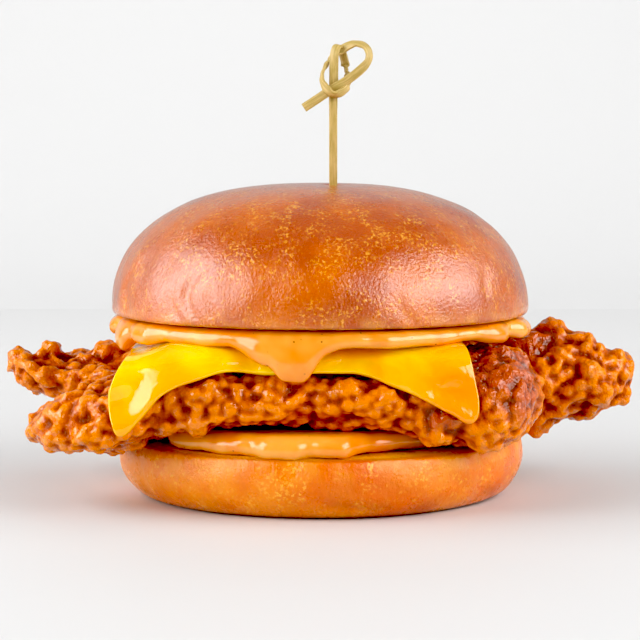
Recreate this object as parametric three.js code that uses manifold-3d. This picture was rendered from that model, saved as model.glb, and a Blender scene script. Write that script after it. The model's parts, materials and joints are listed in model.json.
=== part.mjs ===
// A fried chicken burger that stands on its bottom bun: two craggy fillets lie side by side on
// a puddle of sauce, a melted slice of cheese hangs over their front, more sauce is squeezed out
// under the top bun, and a knotted bamboo pick pins the stack.
// Millimetres. +Z is up, +X is to the right and -Y is towards the viewer. The origin is the
// middle of the bottom bun's flat base.
import * as THREE from "three";
import { LoftGeometry } from "three/addons/geometries/LoftGeometry.js";
import { ImprovedNoise } from "three/addons/math/ImprovedNoise.js";
import { mergeVertices } from "three/addons/utils/BufferGeometryUtils.js";
import Module from "manifold-3d";

// Driving dimensions: the bun sets the scale of the whole stack.
const BUN_RADIUS = 54;
const LAYER_GAP = 0.35; // clear space that neighbouring layers keep

const BOTTOM_BUN = { base: 44, radius: 52.7, widestAt: 11, height: 15.7, lip: 1.6 };
const TOP_BUN = { cutFace: 47, lip: 2.4, apex: 80.6, dome: 1.95, shoulder: 2.8 };
const BUN_SEGMENTS = 44;

const SAUCE_SEGMENTS = 60;
const TOP_SAUCE = { radius: 53.2, squeeze: 0.6, floor: 42.4, ceiling: 46.65 };
// Under the fillets the bottom sauce reaches the bun's edge only at the front and the back.
const BOTTOM_SAUCE = { radius: 45.8, squeeze: 3, floor: 16.05, ceiling: 20.6 };

const CHEESE = {
  middle: -6.2, // the slice lies a little left of the bun's middle
  halfWidth: 41.4,
  thickness: 2.4,
  top: 42.8,
  frontBend: -41.3,
  backBend: 34,
  bendRadius: 9,
  bendAngle: 1.4,
  leftSlump: 3.2, // how far the top sinks towards the left edge
};

const PICK = { x: 3.4, y: -6, tip: 27.5, point: 6, width: 2.1, thickness: 1.5 };
const PICK_STRIP = { width: 2.4, thickness: 0.85 }; // the shaved end that is knotted
const PICK_HOLE = 0.3; // clearance on each side of the pick

const { Vector3, CatmullRomCurve3 } = THREE;
const { PI, abs, cos, sin, sign, sqrt, min, max, round, hypot, exp } = Math;
const range = (count) => [...Array(count).keys()];
const degrees = (angle) => (angle * PI) / 180;
const clamp01 = (value) => min(1, max(0, value));
const smooth = (value) => clamp01(value) ** 2 * (3 - 2 * clamp01(value));

// A seeded source of numbers from 0 to 1, so that every build is the same.
function seeded(seed) {
  let state = seed;
  return () => {
    state = (state * 1664525 + 1013904223) % 4294967296;
    return state / 4294967296;
  };
}

// How far one angle is from another, from 0 to PI.
const angleApart = (a, b) => abs(((a - b + 3 * PI) % (2 * PI)) - PI);

// A bump over an angle, blunt on top: 1 round its middle, 0 beyond its half width.
const bump = (angle, middle, halfWidth) =>
  smooth(1.3 * (1 - angleApart(angle, degrees(middle)) / degrees(halfWidth)));

// Booleans

const wasm = await Module();
wasm.setup();

// A closed geometry as a solid that can be cut and joined.
function solidOf(geometry) {
  const bare = new THREE.BufferGeometry().copy(geometry);
  bare.deleteAttribute("normal");
  bare.deleteAttribute("uv");
  const merged = mergeVertices(bare, 1e-3);
  const vertProperties = merged.getAttribute("position").array;
  const triVerts = new Uint32Array(merged.index.array);
  return new wasm.Manifold(new wasm.Mesh({ numProp: 3, vertProperties, triVerts }));
}

function geometryOf(solid) {
  const mesh = solid.getMesh();
  const geometry = new THREE.BufferGeometry();
  geometry.setAttribute("position", new THREE.BufferAttribute(mesh.vertProperties, 3));
  geometry.setIndex(new THREE.BufferAttribute(mesh.triVerts, 1));
  geometry.computeVertexNormals();
  return geometry;
}

const cut = (solid, tools) => tools.reduce((rest, tool) => rest.subtract(tool), solid);
const join = (solids) => solids.reduce((whole, solid) => whole.add(solid));

// Cutting leaves loose scraps where a layer only grazes another: the largest body is the piece.
function largestBody(solid) {
  return solid.decompose().reduce((a, b) => (a.volume() > b.volume() ? a : b));
}

// Buns

// A closed solid through level rings, from the lowest to the highest. A ring gives its radius
// and its height at an angle round the burger.
function turned(rings, segments) {
  const sections = rings.map(({ radius, height }) =>
    range(segments).map((i) => {
      const angle = (i / segments) * 2 * PI;
      const r = radius(angle);
      return new Vector3(r * cos(angle), r * sin(angle), height(angle));
    }),
  );
  return new LoftGeometry(sections, { capStart: true, capEnd: true });
}

// A baked bun isn't quite round.
const bunWobble = (angle) =>
  1 + 0.006 * cos(2 * angle + 0.6) + 0.004 * cos(3 * angle - 1.1) + 0.003 * cos(5 * angle);

// The bottom bun's rounded foot is a quarter ellipse; above its widest level it draws in to
// a soft cut edge.
function bottomBun(grow = 0) {
  const { base, radius, widestAt, height, lip } = BOTTOM_BUN;
  const ring = (r, z) => ({
    radius: (angle) => (r + grow) * bunWobble(angle),
    height: () => z,
  });
  const foot = range(7).map((i) => {
    const turn = (i / 6) * (PI / 2);
    return ring(base + (radius - base) * sin(turn), widestAt * (1 - cos(turn)) - grow);
  });
  return turned(
    [
      ...foot,
      ring(radius - 0.4, height - lip),
      ring(radius - 1.1, height - lip / 3 + grow),
      ring(radius - 2.2, height + grow),
    ],
    BUN_SEGMENTS,
  );
}

// The domed top bun over its flat cut face.
function topBun() {
  const { cutFace, lip, apex, dome, shoulder } = TOP_BUN;
  const widestAt = cutFace + lip;
  const rise = apex - widestAt;
  const ring = (r, z) => ({
    radius: (angle) => r * bunWobble(angle + 0.9),
    height: () => z,
  });
  const domeHeights = [0.15, 0.3, 0.45, 0.58, 0.7, 0.8, 0.88, 0.94, 0.98, 0.996];
  const domeRing = (share) =>
    ring(BUN_RADIUS * (1 - share ** dome) ** (1 / shoulder), widestAt + rise * share);
  return turned(
    [
      ring(BUN_RADIUS - 2.2, cutFace),
      ring(BUN_RADIUS - 0.8, cutFace + 0.7),
      ring(BUN_RADIUS, widestAt),
      ...domeHeights.map(domeRing),
      ring(2.5, apex),
    ],
    BUN_SEGMENTS,
  );
}

// Sauces

// A thick puddle with a fat rounded rim. rim gives its radius at an angle, and sag how far the
// rim hangs below the puddle's floor there.
function puddle({ rim, sag, floor, ceiling }, grow = 0) {
  // Each ring: how far it lies inside the rim, its level from floor (0) to ceiling (1), and the
  // share of the sag that it takes.
  const rings = [
    [9, 0, 0],
    [5.5, 0.03, 0],
    [2, 0.05, 1],
    [0, 0.38, 0.72],
    [0.3, 0.7, 0.4],
    [1.7, 0.93, 0.12],
    [4, 1, 0],
  ];
  const ring = ([inset, level, hang]) => ({
    radius: (angle) => rim(angle) - inset + grow * (inset < 3 ? 1 : 0),
    height: (angle) =>
      floor + (ceiling - floor) * level - hang * sag(angle) + grow * (level > 0.35 ? 1 : -1),
  });
  return turned(rings.map(ring), SAUCE_SEGMENTS);
}

// The squeezed-out edge of the top sauce: a long tongue at the front, fat lobes at the left and
// right, and smaller ones round the back. Each lobe: middle and half width in degrees, how far
// it stands out and how far it hangs, in millimetres.
const TOP_SAUCE_LOBES = [
  [-98, 14.5, 1.6, 7.6],
  [-124, 16, 0.6, 0.3],
  [-64, 22, 0.8, 0.2],
  [-147, 10, 1.7, 1.4],
  [-161, 9, 2.2, 4.2],
  [-176, 9, 2.4, 1.2],
  [-33, 10, 2.2, 1.1],
  [-17, 10, 3.0, 0.9],
  [8, 14, 0.9, 0.4],
  [43, 16, 1.5, 1.8],
  [82, 18, 1.9, 4.2],
  [118, 14, 0.9, 1.0],
  [150, 15, 1.7, 2.2],
];

const BOTTOM_SAUCE_LOBES = [
  [-136, 11, 5.2, 0.2],
  [-118, 12, 7.0, 0.9],
  [-100, 11, 6.3, 0.4],
  [-84, 12, 6.5, 0.3],
  [40, 16, 5.4, 0.2],
  [70, 16, 6.6, 0.7],
  [101, 20, 6.2, 0.3],
];

function lobedPuddle({ radius, squeeze, floor, ceiling }, lobes, grow) {
  const most = (angle, column) =>
    lobes.reduce((so, lobe) => max(so, lobe[column] * bump(angle, lobe[0], lobe[1])), 0);
  return puddle(
    {
      rim: (angle) => (radius - squeeze * cos(angle) ** 2) * bunWobble(angle) + most(angle, 2),
      sag: (angle) => most(angle, 3),
      floor,
      ceiling,
    },
    grow,
  );
}

const topSauce = (grow) => lobedPuddle(TOP_SAUCE, TOP_SAUCE_LOBES, grow);
const bottomSauce = (grow) => lobedPuddle(BOTTOM_SAUCE, BOTTOM_SAUCE_LOBES, grow);

// Cheese

// How far the slice hangs past its bend at a share of its width, -1 left to 1 right. Between
// the two long corners the edge rises in an arch.
function cheeseHang(share, { middle, left, right, leftSpread, rightSpread }) {
  const fromLeft = 1 - clamp01((share + 1) / leftSpread);
  const fromRight = 1 - clamp01((1 - share) / rightSpread);
  const tipRounding = 5 * (1 - sqrt(1 - clamp01((abs(share) - 0.9) / 0.1) ** 2));
  const hang =
    middle + (left - middle) * fromLeft ** 1.8 + (right - middle) * fromRight ** 1.15;
  return hang - min(tipRounding, hang * 0.8);
}

// The hanging corners spread outwards, and the left one swells and turns in again at its tip.
const cheeseFlare = (u, past) =>
  u < 0
    ? 1 + 0.085 * smooth(past / 15) * (1 - 0.6 * smooth((past - 17) / 9))
    : 1 + 0.0045 * min(max(past, 0), 18);

const FRONT_HANG = { middle: 11.6, left: 27, right: 25.4, leftSpread: 0.66, rightSpread: 0.66 };
const BACK_HANG = { middle: 6, left: 13, right: 16, leftSpread: 0.5, rightSpread: 0.6 };

// A point of the slice's outer face, a distance past the bend on the front (side -1) or the
// back (side 1), sunk below that face by depth.
function drapePoint(past, side, topLevel, depth) {
  const { bendRadius, bendAngle, frontBend, backBend } = CHEESE;
  const bendStart = side < 0 ? frontBend : backBend;
  const turn = min(past / bendRadius, bendAngle);
  const straight = max(0, past - bendRadius * bendAngle);
  const radius = bendRadius - depth;
  const out = radius * sin(turn) + straight * cos(bendAngle);
  const down = bendRadius - radius * cos(turn) + straight * sin(bendAngle);
  return [bendStart + side * out, topLevel - down];
}

function cheeseSlice(grow = 0) {
  const { middle, halfWidth, thickness, top, leftSlump } = CHEESE;
  const across = 18;
  // Shares of the hang where points lie, closer together towards the rounded free edge.
  const hangShares = [0, 0.26, 0.52, 0.78, 1];
  const sections = range(across + 1).map((i) => {
    const share = sin(((i / across) * 2 - 1) * (PI / 2) * 0.94) / sin((PI / 2) * 0.94);
    const u = share * (halfWidth + grow);
    const topLevel = top - leftSlump * smooth((-u - middle - 34) / 14);
    const point = (past, side, depth) => {
      const [y, z] = drapePoint(past, side, topLevel, depth);
      return new Vector3(middle + u * cheeseFlare(u, past), y, z);
    };
    const front = cheeseHang(share, FRONT_HANG) + grow;
    const back = cheeseHang(share, BACK_HANG) + grow;
    const edgeRound = thickness * 0.35;
    const face = (depth, inset) => [
      ...hangShares.map((s) => point((back - inset) * s, 1, depth)).reverse(),
      ...hangShares.map((s) => point((front - inset) * s, -1, depth)),
    ];
    const outer = face(-grow, edgeRound);
    const inner = face(thickness + grow, edgeRound).reverse();
    return [
      ...outer,
      point(front, -1, thickness / 2),
      ...inner,
      point(back, 1, thickness / 2),
    ];
  });
  return new LoftGeometry(sections, { capStart: true, capEnd: true });
}

// Fillets

// Stations along a fillet: the middle of its section (x, y, z), then its half width and half
// height, crags included. Crests are the large lumps that give it its outline: x, y, z, radius.
const FRONT_FILLET = {
  seed: 20,
  lumps: 120,
  knobs: 11,
  crests: [
    [-68, -31, 20.6, 5.6],
    [44, -31, 35, 6.5],
    [28, -45, 22, 5.5],
    [8, -46, 30, 5.5],
    [-12, -45, 28, 5.5],
    [-30, -44, 24.5, 5],
  ],
  stations: [
    [-73.5, -27, 20.3, 9, 4.6],
    [-68, -27, 20.9, 16, 7],
    [-60, -27, 22.8, 20, 9.3],
    [-51, -26.5, 24.6, 22.5, 10.6],
    [-32, -25, 28, 24.5, 10.6],
    [-4, -24.5, 30.2, 26, 10.6],
    [16, -24.5, 29.6, 26, 11.6],
    [32, -24.5, 28.4, 26, 13],
    [47, -24.5, 28, 24, 13.4],
    [56, -24, 28, 16, 10],
  ],
};

const BACK_FILLET = {
  seed: 91,
  lumps: 130,
  knobs: 12,
  crests: [
    [61.5, 9, 38.8, 6],
    [70, 7, 35, 6],
    [79, 8, 32, 5],
    [58, 7, 18.5, 6],
    [70, 9, 20.6, 5.4],
    [77.5, 9, 24.6, 5],
    [-81, 17, 32, 4.6],
    [-73, 17, 33.4, 4.4],
    [-57, 15, 33.4, 5.2],
  ],
  stations: [
    [-85, 20, 31.6, 6, 3.8],
    [-80.5, 20, 30.8, 12, 5.8],
    [-73, 20.5, 29, 16, 6.4],
    [-58, 22.5, 28.6, 20, 7.8],
    [-30, 25, 30, 22.5, 10.6],
    [6, 26, 30.2, 22.5, 10.8],
    [38, 24, 29.8, 23, 11.6],
    [56, 17, 28.6, 23.5, 13.8],
    [66, 13.5, 29, 20, 12.2],
    [74, 12, 28.9, 15.5, 9.6],
    [80, 12, 29.6, 11, 7],
    [84, 12, 30.3, 6.5, 4.2],
  ],
};

const FILLET_GRID = { along: 44, around: 24, crustDepth: 2.8, squareness: 2.6 };

// The middle and the half sizes of a fillet's section, from its left tip (0) to its right (1).
// The half sizes close to a round tip at each end.
function filletSection(stations) {
  const middles = new CatmullRomCurve3(stations.map(([x, y, z]) => new Vector3(x, y, z)));
  const sizes = new CatmullRomCurve3(stations.map(([, , , w, h]) => new Vector3(w, h, 0)));
  return (t) => {
    const size = sizes.getPoint(t);
    const close = sqrt(1 - min(1, abs(2 * t - 1)) ** 8);
    return { middle: middles.getPoint(t), halfWidth: size.x * close, halfHeight: size.y * close };
  };
}

// A point on a section's rounded outline, sunk below it by depth.
function outlinePoint({ middle, halfWidth, halfHeight }, angle, depth) {
  const power = 2 / FILLET_GRID.squareness;
  const w = max(0.4, halfWidth - depth);
  const h = max(0.4, halfHeight - depth);
  return new Vector3(
    middle.x,
    middle.y + w * sign(cos(angle)) * abs(cos(angle)) ** power,
    middle.z + h * sign(sin(angle)) * abs(sin(angle)) ** power,
  );
}

// Lumps of fried crust, spread evenly over a fillet by keeping only random places that are
// clear of the earlier ones.
function crustLumps(section, { lumps, crests, seed }) {
  const random = seeded(seed);
  const placed = crests.map(([x, y, z, radius]) => ({
    place: new Vector3(x, y, z),
    angle: 0,
    radius,
    crest: true,
  }));
  for (let tries = 0; placed.length < lumps && tries < 9000; tries++) {
    const t = 0.5 - 0.5 * cos(PI * random());
    const angle = random() * 2 * PI;
    const radius = 3.8 + 4.2 * random() ** 1.7;
    const place = outlinePoint(section(t), angle, FILLET_GRID.crustDepth + 0.12 * radius);
    const crowded = placed.some(
      (other) => other.place.distanceTo(place) < 0.6 * (other.radius + radius),
    );
    if (!crowded) placed.push({ place, angle, radius });
  }
  return placed;
}

// The fillet's body: a lofted core whose surface swells over every lump, with creases between
// the lumps.
function filletBody(section, lumps) {
  const { along, around, crustDepth } = FILLET_GRID;
  const noise = new ImprovedNoise();
  const sections = range(along + 1).map((i) => {
    const t = 0.5 - 0.5 * cos((PI * (i + 0.35)) / (along + 0.7));
    const at = section(t);
    return range(around).map((j) => {
      const angle = ((j + (i % 2) / 2) / around) * 2 * PI;
      const point = outlinePoint(at, angle, crustDepth);
      const swell = lumps.reduce((most, { place, radius }) => {
        const away = place.distanceTo(point);
        return away < radius ? max(most, sqrt(radius ** 2 - away ** 2)) : most;
      }, 0);
      const ripple = 0.9 * noise.noise(point.x / 6, point.y / 6, point.z / 6);
      const outward = point.clone().sub(at.middle).normalize();
      return point.addScaledVector(outward, 0.72 * swell + ripple);
    });
  });
  return solidOf(new LoftGeometry(sections, { capStart: true, capEnd: true }));
}

// The largest lumps where the crust shows stand out as whole knobs.
function crustKnobs(lumps, { knobs, seed }) {
  const random = seeded(seed + 1);
  return lumps
    .filter(({ place, angle }) => hypot(place.x, place.y) > 44 || abs(sin(angle)) < 0.6)
    .sort((a, b) => (b.crest ? 99 : b.radius) - (a.crest ? 99 : a.radius))
    .slice(0, knobs)
    .map(({ place, radius, crest }) => {
      const knob = new THREE.IcosahedronGeometry(radius * (crest ? 0.95 : 0.8), 1);
      knob.scale(0.9 + 0.3 * random(), 0.9 + 0.2 * random(), 0.85 + 0.2 * random());
      knob.rotateZ(random() * PI);
      knob.rotateX((random() - 0.5) * 1.6);
      knob.translate(place.x, place.y, place.z);
      return solidOf(knob);
    });
}

function fillet(shape) {
  const section = filletSection(shape.stations);
  const lumps = crustLumps(section, shape);
  return join([filletBody(section, lumps), ...crustKnobs(lumps, shape)]);
}

// Knotted pick

// The middle line of the strip where it is knotted, from the straight stem to its cut end: x to
// the right of the stem, y behind it and z above the base. It runs up, folds over the back,
// comes round the stem as a ring, passes behind and makes the large loop, whose end goes out
// under the ring.
const KNOT_TOP = {
  steps: 14,
  outwards: 7,
  points: [
    [0, 0, 104],
    [0.1, 0, 106.3],
    [0.15, -0.1, 110.8],
    [0.3, -0.2, 113.6],
    [0.85, 0.3, 115.4],
    [1.5, 1.3, 115.8],
    [2.1, 2.3, 114.9],
    [2.8, 2.7, 112.6],
    [3.3, 2.3, 110],
  ],
};
const KNOT_RING = {
  steps: 18,
  outwards: 13,
  points: [
    [3.3, 2.3, 110],
    [3.9, 1.2, 107],
    [3.6, -0.4, 105.3],
    [1.95, -1.9, 103.9],
    [0, -2.5, 103.5],
    [-1.7, -2.2, 104.8],
    [-2.85, -1.1, 106.9],
    [-2.75, 0, 109],
    [-1.65, 0.9, 111.2],
    [0.3, 1.3, 113.5],
  ],
};
const KNOT_LOOP = {
  steps: 22,
  outwards: 4.5,
  points: [
    [0.3, 1.3, 113.5],
    [2.2, 1.3, 114.9],
    [4.4, 0.8, 116.1],
    [6.4, 0.2, 116.4],
    [8.4, -0.6, 115.5],
    [9.2, -1.1, 113.6],
    [8.7, -1.4, 111.6],
    [6.6, -1.5, 109.4],
    [3.75, -1.4, 107.2],
    [0.75, -1.35, 105.4],
    [-1.35, -1.3, 104.1],
    [-4.35, -1.3, 102.1],
    [-7.55, -1.3, 100],
  ],
};

// A flat strip along points. Its flat face looks at the viewer where the strip runs straight,
// and turns outwards where it bends.
function strip({ points, steps, outwards }, { width, thickness }) {
  const curve = new CatmullRomCurve3(
    points.map(([x, y, z]) => new Vector3(PICK.x + x, PICK.y + y, z)),
  );
  let last = new Vector3(0, -1, 0);
  const sections = range(steps + 1).map((i) => {
    const t = i / steps;
    const at = curve.getPoint(t);
    const tangent = curve.getTangent(t);
    const before = curve.getTangent(max(0, t - 0.02));
    const after = curve.getTangent(min(1, t + 0.02));
    const facing = new Vector3(0, -1, 0).addScaledVector(before.sub(after), outwards);
    facing.addScaledVector(tangent, -facing.dot(tangent)).normalize();
    if (facing.dot(last) < 0) facing.negate();
    last = facing;
    const side = new Vector3().crossVectors(facing, tangent);
    return [
      [-1, -1],
      [1, -1],
      [1, 1],
      [-1, 1],
    ].map(([a, b]) => {
      const point = at.clone().addScaledVector(side, (a * width) / 2);
      return point.addScaledVector(facing, (b * thickness) / 2);
    });
  });
  return solidOf(new LoftGeometry(sections, { capStart: true, capEnd: true }));
}

// The straight stem, from a sharp point inside the burger up to the knot.
function pickStem() {
  const { x, y, tip, point, width, thickness } = PICK;
  const level = (w, t, z) =>
    [
      [-1, -1],
      [1, -1],
      [1, 1],
      [-1, 1],
    ].map(([a, b]) => new Vector3(x + (a * w) / 2, y + (b * t) / 2, z));
  const sections = [
    level(0.3, 0.3, tip),
    level(width, thickness, tip + point),
    level(width, thickness, 98),
    level(PICK_STRIP.width, PICK_STRIP.thickness, 104.5),
  ];
  return solidOf(new LoftGeometry(sections, { capStart: true, capEnd: true }));
}

function knottedPick() {
  return join([
    pickStem(),
    strip(KNOT_TOP, PICK_STRIP),
    strip(KNOT_RING, PICK_STRIP),
    strip(KNOT_LOOP, PICK_STRIP),
  ]);
}

// The hole that the pick leaves, clear of it on all sides.
function pickHole() {
  const { x, y, tip, width, thickness } = PICK;
  const height = TOP_BUN.apex + 5 - (tip - LAYER_GAP);
  const hole = new THREE.BoxGeometry(
    width + 2 * PICK_HOLE,
    thickness + 2 * PICK_HOLE,
    height,
  );
  hole.translate(x, y, tip - LAYER_GAP + height / 2);
  return solidOf(hole);
}

// Materials

const material = (color, roughness, name) =>
  new THREE.MeshStandardMaterial({ color, roughness, metalness: 0, name });

const BUN_CRUST = material(0xc8691c, 0.38, "bun_crust");
const FRIED_CRUST = material(0xa9530f, 0.5, "fried_crust");
const CHEESE_YELLOW = material(0xf9a90b, 0.3, "cheese");
const SAUCE_ORANGE = material(0xe58a34, 0.22, "sauce");
const BAMBOO = material(0xb99b52, 0.55, "bamboo");

// Assembly, from the plate upwards. The soft layers keep their shape and the fillets are cut
// back from them.

function makeMesh(name, solid, look) {
  const mesh = new THREE.Mesh(geometryOf(solid), look);
  mesh.name = name;
  return mesh;
}

function assemble() {
  const hole = pickHole();
  const slice = solidOf(cheeseSlice());
  const sliceGrown = solidOf(cheeseSlice(LAYER_GAP));
  const bun = cut(solidOf(topBun()), [hole]);
  const bottomBunGrown = solidOf(bottomBun(LAYER_GAP));

  const upperSauce = largestBody(cut(solidOf(topSauce(0)), [sliceGrown, hole]));
  const lowerSauce = largestBody(cut(solidOf(bottomSauce(0)), [bottomBunGrown]));
  const aroundFillets = [
    bottomBunGrown,
    solidOf(bottomSauce(LAYER_GAP)),
    sliceGrown,
    solidOf(topSauce(LAYER_GAP)),
  ];
  const front = largestBody(cut(fillet(FRONT_FILLET), [...aroundFillets, hole]));
  const frontGrown = [-LAYER_GAP, LAYER_GAP].flatMap((step) => [
    solidOf(geometryOf(front).translate(step, 0, 0)),
    solidOf(geometryOf(front).translate(0, step, 0)),
    solidOf(geometryOf(front).translate(0, 0, step)),
  ]);
  const back = largestBody(cut(fillet(BACK_FILLET), [...aroundFillets, ...frontGrown]));

  const group = new THREE.Group();
  group.add(
    makeMesh("bottom_bun", solidOf(bottomBun()), BUN_CRUST),
    makeMesh("bottom_sauce", lowerSauce, SAUCE_ORANGE),
    makeMesh("front_fillet", front, FRIED_CRUST),
    makeMesh("back_fillet", back, FRIED_CRUST),
    makeMesh("cheese_slice", cut(slice, [hole]), CHEESE_YELLOW),
    makeMesh("top_sauce", upperSauce, SAUCE_ORANGE),
    makeMesh("top_bun", bun, BUN_CRUST),
    makeMesh("knotted_pick", knottedPick(), BAMBOO),
  );
  return group;
}

export default assemble();
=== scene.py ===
"""Looks of a fried chicken burger pinned by a knotted bamboo pick.

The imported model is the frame: every piece below stands where its solid stands. Lengths are
written in millimetres and turned into metres where a mesh is made. +X is to the right, +Y away
from the viewer, +Z up, and the origin is the middle of the bottom bun's base.
"""

import json
import logging
import math
from dataclasses import dataclass
from enum import Enum
from itertools import product

import bpy
import numpy as np
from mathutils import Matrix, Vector
from mathutils.bvhtree import BVHTree
from mathutils.kdtree import KDTree

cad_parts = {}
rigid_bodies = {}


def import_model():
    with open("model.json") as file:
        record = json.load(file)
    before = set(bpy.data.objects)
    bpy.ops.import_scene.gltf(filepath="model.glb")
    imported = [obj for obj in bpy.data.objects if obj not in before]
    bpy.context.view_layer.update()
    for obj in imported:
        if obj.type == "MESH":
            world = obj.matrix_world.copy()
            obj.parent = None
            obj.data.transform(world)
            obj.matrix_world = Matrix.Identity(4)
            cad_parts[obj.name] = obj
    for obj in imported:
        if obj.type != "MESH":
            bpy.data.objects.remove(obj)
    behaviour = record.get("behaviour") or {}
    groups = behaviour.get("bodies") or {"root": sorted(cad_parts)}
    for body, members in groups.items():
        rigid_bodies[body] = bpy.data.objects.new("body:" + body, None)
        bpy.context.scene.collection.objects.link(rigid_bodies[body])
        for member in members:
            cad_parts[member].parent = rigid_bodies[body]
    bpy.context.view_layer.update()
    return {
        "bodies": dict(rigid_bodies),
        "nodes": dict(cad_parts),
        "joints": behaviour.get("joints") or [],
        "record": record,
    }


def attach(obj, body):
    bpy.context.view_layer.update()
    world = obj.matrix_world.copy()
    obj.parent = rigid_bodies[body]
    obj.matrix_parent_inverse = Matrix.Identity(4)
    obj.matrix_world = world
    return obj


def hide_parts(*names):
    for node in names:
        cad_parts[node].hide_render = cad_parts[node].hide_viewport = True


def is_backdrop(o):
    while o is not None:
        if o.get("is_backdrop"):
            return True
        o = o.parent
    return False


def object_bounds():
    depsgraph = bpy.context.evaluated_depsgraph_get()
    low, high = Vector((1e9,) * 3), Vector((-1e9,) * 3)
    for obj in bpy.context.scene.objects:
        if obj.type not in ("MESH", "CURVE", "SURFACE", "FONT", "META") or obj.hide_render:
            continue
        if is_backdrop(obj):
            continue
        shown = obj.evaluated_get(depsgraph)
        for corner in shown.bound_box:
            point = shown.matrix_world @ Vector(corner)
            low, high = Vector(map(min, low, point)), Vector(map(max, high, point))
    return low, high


LOG = logging.getLogger("burger")
MM = 0.001

Array = np.ndarray
Colour = tuple[float, float, float]
Triple = tuple[float, float, float]
Pair = tuple[float, float]
Four = tuple[float, float, float, float]
Piece = bpy.types.Object
Socket = bpy.types.NodeSocket


# ---------------- small shared tools


def deselect_all() -> None:
    """Leaves edit mode and deselects everything."""
    if bpy.context.object and bpy.context.object.mode != "OBJECT":
        bpy.ops.object.mode_set(mode="OBJECT")
    bpy.ops.object.select_all(action="DESELECT")


def activate(piece: Piece) -> None:
    """Makes one object the only selected and active one.

    Args:
        piece: The object.
    """
    deselect_all()
    piece.select_set(True)
    bpy.context.view_layer.objects.active = piece


def new_object(name: str, data: bpy.types.ID) -> Piece:
    """Makes an object of some data and puts it into the scene.

    Args:
        name: The object's name.
        data: Its mesh, light or camera.

    Returns:
        The new object.
    """
    made = bpy.data.objects.new(name, data)
    bpy.context.scene.collection.objects.link(made)
    return made


def face_outwards(piece: Piece) -> None:
    """Turns all faces outwards.

    Args:
        piece: The mesh object.
    """
    activate(piece)
    bpy.ops.object.mode_set(mode="EDIT")
    bpy.ops.mesh.select_all(action="SELECT")
    bpy.ops.mesh.normals_make_consistent(inside=False)
    bpy.ops.object.mode_set(mode="OBJECT")


def smoothstep(value: Array | float) -> Array:
    """Eases 0 to 1 with flat ends."""
    t = np.clip(value, 0.0, 1.0)
    return t * t * (3.0 - 2.0 * t)


def bell(away: Array, width: float) -> Array:
    """Falls from 1 at no distance to almost 0 at twice the width."""
    return np.exp(-((away / width) ** 2))


def coordinates(piece: Piece) -> Array:
    """Reads the vertices of a piece.

    Args:
        piece: The mesh object.

    Returns:
        One row for each vertex, in millimetres.
    """
    flat = np.empty(len(piece.data.vertices) * 3)
    piece.data.vertices.foreach_get("co", flat)
    return flat.reshape(-1, 3) / MM


def move_to(piece: Piece, points: Array) -> None:
    """Writes a piece's vertices.

    Args:
        piece: The mesh object.
        points: One row for each vertex, in millimetres.
    """
    piece.data.vertices.foreach_set("co", (points * MM).ravel())
    piece.data.update()


def normals_of(piece: Piece) -> Array:
    """Reads the vertex normals of a piece.

    Args:
        piece: The mesh object.

    Returns:
        One row for each vertex.
    """
    flat = np.empty(len(piece.data.vertices) * 3)
    piece.data.vertices.foreach_get("normal", flat)
    return flat.reshape(-1, 3)


def apply_modifier(piece: Piece, kind: str, **settings: object) -> None:
    """Adds one modifier and applies it.

    Args:
        piece: The mesh object.
        kind: Blender's name of the modifier.
        settings: Its settings.
    """
    activate(piece)
    modifier = piece.modifiers.new(kind.lower(), kind)
    for key, value in settings.items():
        setattr(modifier, key, value)
    bpy.ops.object.modifier_apply(modifier=modifier.name)


def merged_copy(node: str, name: str, frame: dict) -> Piece:
    """Copies a solid of the frame with its loose triangles merged.

    Args:
        node: The solid's name.
        name: The copy's name.

    Returns:
        The new object, linked to the scene.
    """
    piece = new_object(name, frame["nodes"][node].data.copy())
    piece.data.materials.clear()
    activate(piece)
    bpy.ops.object.mode_set(mode="EDIT")
    bpy.ops.mesh.select_all(action="SELECT")
    bpy.ops.mesh.remove_doubles(threshold=0.00001)
    bpy.ops.object.mode_set(mode="OBJECT")
    return piece


def wave_noise(points: Array, size: float, seed: int, octaves: int = 2) -> Array:
    """Smooth noise from about -1 to 1, made of seeded plane waves.

    Args:
        points: One row for each place, in millimetres.
        size: The usual distance between its bumps, in millimetres.
        seed: Picks the waves.
        octaves: How many finer layers it has.

    Returns:
        One number for each row.
    """
    rng = np.random.default_rng(seed)
    total = np.zeros(len(points))
    for octave in range(octaves):
        for _ in range(9):
            direction = rng.normal(size=3)
            direction *= 2 * math.pi / (size * np.linalg.norm(direction))
            direction *= 2.0**octave * rng.uniform(0.7, 1.3)
            total += np.sin(points @ direction + rng.uniform(0, 2 * math.pi)) / 2.0**octave
    return total / 4.0


def paint(piece: Piece, name: str, values: Array) -> None:
    """Stores one number for each vertex, for the material to read.

    Args:
        piece: The mesh object.
        name: The attribute's name.
        values: One number for each vertex.
    """
    layer = piece.data.attributes.new(name, "FLOAT", "POINT")
    layer.data.foreach_set("value", np.asarray(values, dtype=np.float32))


def hand_over(piece: Piece, node: str, finish: Enum) -> None:
    """Smooths and dresses a finished piece, hangs it on the root body and hides its solid.

    Args:
        piece: The finished mesh object.
        node: The solid that it stands for.
        finish: One of Finish, whose material it gets.
    """
    activate(piece)
    bpy.ops.object.shade_smooth()
    piece.data.materials.clear()
    piece.data.materials.append(finish.value.material())
    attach(piece, "root")
    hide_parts(node)
    LOG.info("%s: %d faces for %s", piece.name, len(piece.data.polygons), node)


# ---------------- finishes


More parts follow.
